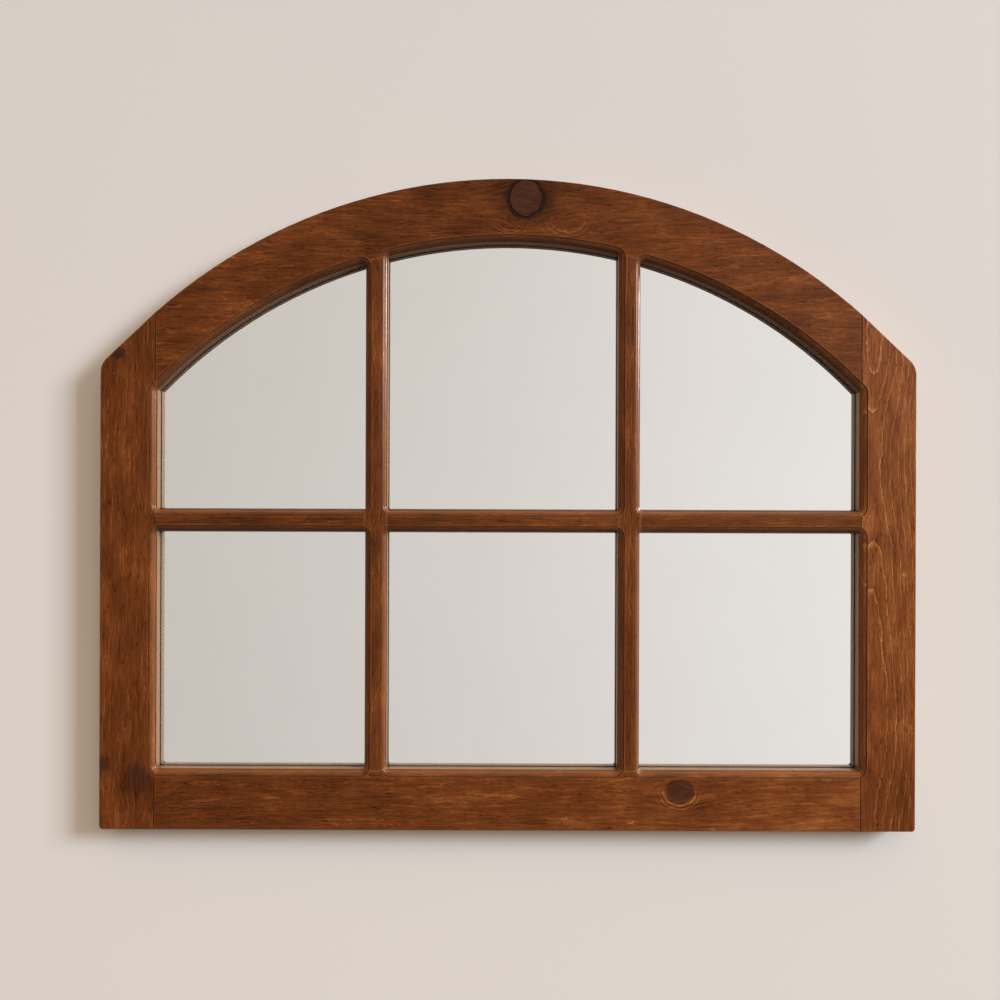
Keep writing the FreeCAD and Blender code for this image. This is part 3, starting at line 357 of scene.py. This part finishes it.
def stained_pine(
    name, upright, seed, pith, tilt, rings, figure, tone, late_from=0.78, knots=(), bow=None
):
    """Pine as it was before it was planed. x runs along the grain, y from the face to the back and
    z across, in mm. A ring is where the distance to the pith, the line (y, z) = pith, passes a
    whole number of ring widths. Noise bends the distance, tilt leans the pith, and a bow (across,
    height, half width, half height, rise) pushes the rings out of the face there, so that above
    and below it they come out as arches."""
    material, tree = new_material(name)
    place = add(tree, "TexCoord").node.outputs["Object"]
    turned = (0, math.radians(90) if upright else 0, 0)
    grain = add(tree, "Mapping", place, (0, 0, 0), turned, (1 / MM,) * 3)
    wood, heart, crack, halo = drawn_round_knots(tree, grain, upright, knots)
    from_pith, lean = (seed, -pith[0], -pith[1]), (0, 0, math.radians(tilt))
    log = add(tree, "Mapping", wood, from_pith, lean)

    def lumps(length, width, **more):
        """Noise in the wood's own space, one lump of it so long and so wide, in mm."""
        size = (1 / length, 1 / width, 1 / width)
        squeezed = add(tree, "VectorMath", log, size, operation="MULTIPLY")
        return add(tree, "TexNoise", sockets={"Vector": squeezed, "Scale": 1.0, **more})

    bend = lumps(230, 70, Detail=1.0).node.outputs["Color"]
    bend = add(tree, "VectorMath", bend, (0.5, 0.5, 0.5), operation="SUBTRACT")
    bend = add(tree, "VectorMath", bend, (0, 22, 22), operation="MULTIPLY")
    outwards = add(tree, "VectorMath", log, bend, operation="ADD")
    outwards = add(tree, "VectorMath", outwards, (0, 1, 1), operation="MULTIPLY")
    radius = add(tree, "VectorMath", outwards, operation="LENGTH").node.outputs["Value"]
    radius = add(
        tree, "Math", lumps(17, 6, Detail=2.0), 4.2, radius, operation="MULTIPLY_ADD"
    )
    if bow:
        across, height, half_width, half_height, rise = bow
        middle = on_board(upright, across, height)
        apart = add(tree, "VectorMath", grain, middle, operation="SUBTRACT")
        per_half = on_board(upright, -1 / half_width, 1 / half_height)
        apart = add(tree, "VectorMath", apart, per_half, operation="MULTIPLY")
        squared = add(tree, "VectorMath", apart, apart, operation="DOT_PRODUCT")
        squared = squared.node.outputs["Value"]
        squared = add(tree, "Math", squared, -1.0, operation="MULTIPLY")
        pushed = add(tree, "Math", squared, operation="EXPONENT")
        radius = add(tree, "Math", pushed, rise, radius, operation="MULTIPLY_ADD")
    year = add(tree, "Math", radius, rings, operation="DIVIDE")
    year = add(tree, "Math", year, operation="FRACT")
    late = add(tree, "MapRange", year, late_from, 0.98, interpolation_type="SMOOTHSTEP")
    spring = add(tree, "MapRange", year, 0.16, 0.0, interpolation_type="SMOOTHSTEP")

    # Fibres 1.6 mm wide, drawn seven times as coarse as real ones so that they show; short dark
    # resin canals, drawn as coarse; bands a few mm wide; the patches, some 40 mm across, where
    # planed pine takes stain unevenly; and thin pale scuffs where the planer raised the grain.
    fibres = lumps(26, 1.6, Detail=4.0, Roughness=0.75)
    canals = add(tree, "MapRange", lumps(11, 1.5, Detail=0.0), 0.68, 0.78)
    bands = lumps(62, 4.0, Detail=2.0)
    patches = lumps(75, 30, Detail=3.0, Roughness=0.6)
    scuffs = add(tree, "Math", lumps(34, 8, Detail=1.0), 0.5, 0.004, operation="COMPARE")
    rough = add(tree, "MapRange", patches, 0.45, 0.6, interpolation_type="SMOOTHSTEP")
    scuffs = add(tree, "Math", scuffs, rough, operation="MULTIPLY")

    # The shade is the board's tone, less the knots' halo, plus each part's difference from its
    # usual value times how much it counts. A ramp from dark to pale gives the shade its colour.
    shade = add(tree, "Math", tone, halo, operation="SUBTRACT")
    for part, amount, usual in (
        (fibres, 0.78, 0.5),
        (bands, 0.3, 0.5),
        (patches, 0.55, 0.5),
        (late, figure, 0.15),
        (spring, -0.4 * figure, 0.1),
        (canals, -0.22, 0.0),
        (scuffs, 0.24, 0.0),
    ):
        offset = add(tree, "Math", part, usual, operation="SUBTRACT")
        shade = add(tree, "Math", offset, amount, shade, operation="MULTIPLY_ADD")
    brown = [
        (0.0, "#261005"),
        (0.25, "#4d260b"),
        (0.5, "#733c19"),
        (0.75, "#9a5c2d"),
        (1.0, "#c28a55"),
    ]
    knot_brown = [(0.3, "#361a10"), (0.75, "#5a3420")]
    bare_pine = [(0.3, "#86664a"), (0.7, "#ab8663")]
    colour = add(tree, "ValToRGB", shade, stops=brown)
    knot_wood = add(tree, "ValToRGB", fibres, stops=knot_brown)
    colour = add(tree, "MixRGB", heart, colour, knot_wood)
    colour = add(tree, "MixRGB", crack, colour, linear("#120803"))
    painted_shade_and_joint_stain, worn_and_painted_highlight, bare, joint, burnished = stain_and_painted_light_on_edges(tree, place)
    # Paler arrises and crest: worn stain and a painted highlight.
    colour = add(tree, "MixRGB", worn_and_painted_highlight, colour, WORN_STAIN_AND_HIGHLIGHT)
    pale_pine = add(tree, "ValToRGB", fibres, stops=bare_pine)
    colour = add(tree, "MixRGB", bare, colour, pale_pine)
    # Painted shade in corners, quirk, foot and undersides, with the stain dark in the joints.
    colour = add(tree, "MixRGB", painted_shade_and_joint_stain, colour, BLACK_STAIN_AND_SHADE)

    # The planed face keeps a little relief: pale late wood stands proud, cracks and joints are
    # sunk. The moulding was cut smooth, so it shines more. The stained joints and the painted
    # shade are duller than wax.
    relief = add(tree, "Math", late, 2.0 * figure, fibres, operation="MULTIPLY_ADD")
    relief = add(tree, "Math", crack, -3.0, relief, operation="MULTIPLY_ADD")
    relief = add(tree, "Math", joint, -2.0, relief, operation="MULTIPLY_ADD")
    planed = add(tree, "Math", 1.0, burnished, operation="SUBTRACT")
    relief = add(tree, "Math", relief, planed, operation="MULTIPLY")
    relief = add(
        tree, "Bump", sockets={"Height": relief, "Strength": 0.5, "Distance": 0.35 * MM}
    )
    dullness = add(tree, "MapRange", fibres, 0.3, 0.7, 0.46, 0.32)
    dullness = add(tree, "Math", burnished, -0.12, dullness, operation="MULTIPLY_ADD")
    surface = add(
        tree,
        "BsdfPrincipled",
        sockets={
            "Base Color": colour,
            "Roughness": add(tree, "Math", dullness, painted_shade_and_joint_stain, operation="MAXIMUM"),
            "Normal": relief,
            "IOR": 1.48,
            "Specular IOR Level": add(tree, "MapRange", burnished, 0.0, 1.0, 0.15, 0.32),
            "Specular Tint": linear("#ffe8d8"),
        },
    )
    add(tree, "OutputMaterial", surface)
    return material


def finish_in(material, *names):
    """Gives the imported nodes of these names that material."""
    for name in names:
        for place in nodes[name].material_slots:
            place.material = material


def knot(at, radii, heart=1.0, crack=0.0, soft=0.1, halo=0.25, arcs=0.0, pull=0.8):
    """A knot at (across, height) on the face, with its radii (across, high) and how strong each of
    its parts is. One with no heart and no pull is only a darker or, below 0, a lighter cloud."""
    return {
        "at": at,
        "radii": radii,
        "heart": heart,
        "crack": crack,
        "soft": soft,
        "halo": halo,
        "arcs": arcs,
        "pull": pull,
    }


def cloud(at, radii, halo):
    """A darker patch or, below 0, a lighter one."""
    return knot(at, radii, heart=0.0, halo=halo, pull=0.0)


# The left stile is straight-grained, with a soft dark knot cut through by the corner of its
# moulding and small ones on its outer edge and its shoulder.
left_stile_pine = stained_pine(
    "stained_pine_left_stile",
    upright=True,
    seed=1300,
    pith=(70, 640),
    tilt=0.8,
    rings=5.5,
    figure=0.12,
    tone=0.47,
    knots=[
        knot((-529, -520), (13, 19), heart=0.9, soft=0.45, halo=0.26, pull=0.4),
        knot((-578, -497), (7, 9), heart=0.85, soft=0.3, halo=0.2),
        knot((-558, 91), (7, 7), heart=0.95, crack=0.6, soft=0.15, halo=0.2),
        knot((-566, 72), (11, 12), heart=0.0, halo=0.05, arcs=0.3, pull=0.2),
        knot((-552, -563), (9, 6), heart=0.0, halo=0.05, arcs=0.3, pull=0.2),
    ],
)
finish_in(left_stile_pine, "left_stile")

# The right stile is flat-sawn from a log with a slight bow: its rings come out of the face as
# arches that point up below the bow and down above it.
right_stile_pine = stained_pine(
    "stained_pine_right_stile",
    upright=True,
    seed=4700,
    pith=(-16, -522),
    tilt=0.3,
    rings=8.0,
    figure=0.28,
    tone=0.62,
    late_from=0.84,
    # The stile's foot is darker, and its lower half faintly darker.
    knots=[cloud((548, -575), (70, 75), 0.14), cloud((548, -300), (60, 220), 0.03)],
    bow=(522, -50, 300, 150, 20),
)
finish_in(right_stile_pine, "right_stile")

# The arch rail is sawn from one wide plank, so its grain runs level through the curve. A loose
# black knot sits at the crown, with the eyes of small branches under it.
arch_rail_pine = stained_pine(
    "stained_pine_arch_rail",
    upright=False,
    seed=9100,
    pith=(90, 150),
    tilt=1.2,
    rings=5.0,
    figure=0.12,
    tone=0.44,
    knots=[
        knot((24, 314), (23, 25), crack=1.0, soft=0.03, halo=0.16),
        cloud((54, 316), (9, 14), 0.22),
        # Left of the crown the rail is a little darker.
        cloud((-60, 300), (90, 40), 0.09),
        knot((1, 281), (16, 13), heart=0.0, halo=0.0, arcs=0.35, pull=0.4),
        knot((54, 277), (11, 9), heart=0.0, halo=0.04, arcs=0.3, pull=0.4),
        knot((84, 282), (24, 17), heart=0.0, halo=0.0, arcs=0.35, pull=0.4),
        knot((-432, 182), (22, 4), heart=0.6, soft=0.5, halo=0.1, pull=0.2),
    ],
)
finish_in(arch_rail_pine, "arch_rail")

# The bottom rail has fine level grain, one round red knot with bright arcs under it, and the
# shadow of its branch in the moulding above.
bottom_rail_pine = stained_pine(
    "stained_pine_bottom_rail",
    upright=False,
    seed=15500,
    pith=(60, -500),
    tilt=-1.0,
    rings=4.5,
    figure=0.12,
    tone=0.48,
    knots=[
        knot((247, -534), (18, 15.5), crack=0.5, soft=0.06, halo=0.0, arcs=0.85),
        knot((236, -506), (24, 9), heart=0.8, soft=0.3, halo=0.1, pull=0.0),
        cloud((284, -556), (15, 36), 0.12),
        # The left end is darker and the right end lighter.
        cloud((-462, -553), (30, 20), 0.1),
        cloud((-300, -550), (150, 60), 0.07),
        cloud((390, -550), (130, 60), -0.1),
    ],
)
finish_in(bottom_rail_pine, "bottom_rail")

# The glazing bars are clear straight stuff, halved over each other and moulded in place.
left_bar_pine = stained_pine(
    "stained_pine_left_bar",
    upright=True,
    seed=21700,
    pith=(30, 300),
    tilt=0.4,
    rings=3.6,
    figure=0.14,
    tone=0.42,
)
right_bar_pine = stained_pine(
    "stained_pine_right_bar",
    upright=True,
    seed=27300,
    pith=(25, -60),
    tilt=0.5,
    rings=3.8,
    figure=0.14,
    tone=0.42,
)
cross_bar_pine = stained_pine(
    "stained_pine_cross_bar",
    upright=False,
    seed=33100,
    pith=(28, -40),
    tilt=0.4,
    rings=3.6,
    figure=0.14,
    tone=0.43,
    # The left half of the bar is a little darker.
    knots=[cloud((-340, -148), (170, 60), 0.08)],
)
finish_in(left_bar_pine, "left_glazing_bar")
finish_in(right_bar_pine, "right_glazing_bar")
finish_in(cross_bar_pine, "cross_bar")


# -------------------------------------------------------------------------------------------------
# The mirror plate: one 4 mm sheet of float glass, silvered, behind all six lights. It is clean,
# with only the faint haze and unevenness that a wiped plate has.
# -------------------------------------------------------------------------------------------------
def silvered_glass():
    """A silver mirror: metal with almost no roughness, its haze in cloudy wipes 120 mm across.
    Along the sight edges a dark line is painted shade where the plate's thickness shows, found by
    occlusion within 2.5 mm."""
    material, tree = new_material("silvered_glass")
    place = add(tree, "TexCoord").node.outputs["Object"]
    wipes = add(
        tree,
        "TexNoise",
        sockets={"Vector": place, "Scale": 1 / (120 * MM), "Detail": 3.0, "Distortion": 0.6},
    )
    haze = add(tree, "MapRange", wipes, 0.35, 0.7, 0.0, 0.01)
    silver = add(tree, "ValToRGB", wipes, stops=[(0.3, "#fcfcfb"), (0.7, "#fafaf9")])
    # A dark line along the sight edges: painted shade of the glass edge.
    walls = add(tree, "AmbientOcclusion", samples=8, sockets={"Distance": 2.5 * MM})
    painted_edge_shade = add(tree, "MapRange", walls.node.outputs["AO"], 0.88, 0.7)
    silver = add(tree, "MixRGB", painted_edge_shade, silver, linear("#2a1d14"))
    surface = add(
        tree,
        "BsdfPrincipled",
        sockets={"Base Color": silver, "Metallic": 1.0, "Roughness": haze},
    )
    add(tree, "OutputMaterial", surface)
    return material


finish_in(silvered_glass(), "mirror_plate")


# -------------------------------------------------------------------------------------------------
# The backing board: 3 mm hardboard, wood fibre pressed hot until it is dense and brown. The smooth
# side shows, with the fibres just visible as pale and dark flecks.
# -------------------------------------------------------------------------------------------------
def hardboard():
    """Pressed fibre: flecks 2 mm long in every direction, over soft cloudy patches."""
    material, tree = new_material("hardboard")
    place = add(tree, "TexCoord").node.outputs["Object"]
    flecks = add(
        tree,
        "TexNoise",
        sockets={
            "Vector": place,
            "Scale": 1 / (3 * MM),
            "Detail": 4.0,
            "Roughness": 0.7,
            "Distortion": 1.5,
        },
    )
    clouds = add(
        tree, "TexNoise", sockets={"Vector": place, "Scale": 1 / (90 * MM), "Detail": 3.0}
    )
    mixed = add(tree, "Math", clouds, 0.5, flecks, operation="MULTIPLY_ADD")
    colour = add(
        tree,
        "ValToRGB",
        mixed,
        stops=[(0.45, "#4a3020"), (0.75, "#6b4a31"), (1.0, "#8c6a4a")],
    )
    relief = add(
        tree, "Bump", sockets={"Height": flecks, "Strength": 0.3, "Distance": 0.2 * MM}
    )
    surface = add(
        tree,
        "BsdfPrincipled",
        sockets={"Base Color": colour, "Roughness": 0.55, "Normal": relief},
    )
    add(tree, "OutputMaterial", surface)
    return material


finish_in(hardboard(), "backing_board")


# -------------------------------------------------------------------------------------------------
# The dowels: turned beech, glued in blind at the four corners of the frame.
# -------------------------------------------------------------------------------------------------
def beech():
    """Pale close-grained beech with its small darker flecks, 3 mm long along the dowel."""
    material, tree = new_material("beech")
    place = add(tree, "TexCoord").node.outputs["Object"]
    size = (1 / (3 * MM), 1 / (0.6 * MM), 1 / (0.6 * MM))
    along = add(tree, "VectorMath", place, size, operation="MULTIPLY")
    flecks = add(tree, "TexNoise", sockets={"Vector": along, "Scale": 1.0, "Detail": 2.0})
    colour = add(
        tree,
        "ValToRGB",
        flecks,
        stops=[(0.3, "#a97c54"), (0.55, "#c89f72"), (0.75, "#d6b188")],
    )
    surface = add(
        tree, "BsdfPrincipled", sockets={"Base Color": colour, "Roughness": 0.6}
    )
    add(tree, "OutputMaterial", surface)
    return material


finish_in(beech(), "frame_dowels")


# -------------------------------------------------------------------------------------------------
# The back fittings: clips, screws, hanger straps and rings of steel, pressed or drawn and then
# plated with bright zinc, which has a cool grey shine with faint warm and blue clouds.
# -------------------------------------------------------------------------------------------------
def zinc_plated_steel():
    """Zinc on steel: a grey metal with clouded colour and shine, 6 mm across."""
    material, tree = new_material("zinc_plated_steel")
    place = add(tree, "TexCoord").node.outputs["Object"]
    clouds = add(
        tree, "TexNoise", sockets={"Vector": place, "Scale": 1 / (6 * MM), "Detail": 3.0}
    )
    colour = add(
        tree,
        "ValToRGB",
        clouds,
        stops=[(0.3, "#a7acb3"), (0.55, "#bcbdbc"), (0.75, "#c8c3b4")],
    )
    shine = add(tree, "MapRange", clouds, 0.3, 0.7, 0.28, 0.44)
    surface = add(
        tree,
        "BsdfPrincipled",
        sockets={"Base Color": colour, "Metallic": 1.0, "Roughness": shine},
    )
    add(tree, "OutputMaterial", surface)
    return material


finish_in(
    zinc_plated_steel(),
    "retainer_clips",
    "clip_screws",
    "left_hanger_strap",
    "right_hanger_strap",
    "left_hanger_ring",
    "right_hanger_ring",
    "left_hanger_screws",
    "right_hanger_screws",
)


# -------------------------------------------------------------------------------------------------
# The bumpers: soft moulded rubber buttons low on the back, which stand the frame off the wall.
# -------------------------------------------------------------------------------------------------
def black_rubber():
    """Moulded rubber: near black, matt, with a fine dusty bloom 1 mm across."""
    material, tree = new_material("black_rubber")
    place = add(tree, "TexCoord").node.outputs["Object"]
    bloom = add(
        tree, "TexNoise", sockets={"Vector": place, "Scale": 1 / MM, "Detail": 3.0}
    )
    colour = add(tree, "ValToRGB", bloom, stops=[(0.3, "#17171a"), (0.75, "#2d2c2d")])
    relief = add(
        tree, "Bump", sockets={"Height": bloom, "Strength": 0.3, "Distance": 0.1 * MM}
    )
    surface = add(
        tree,
        "BsdfPrincipled",
        sockets={"Base Color": colour, "Roughness": 0.78, "Normal": relief},
    )
    add(tree, "OutputMaterial", surface)
    return material


finish_in(black_rubber(), "left_bumper", "right_bumper")
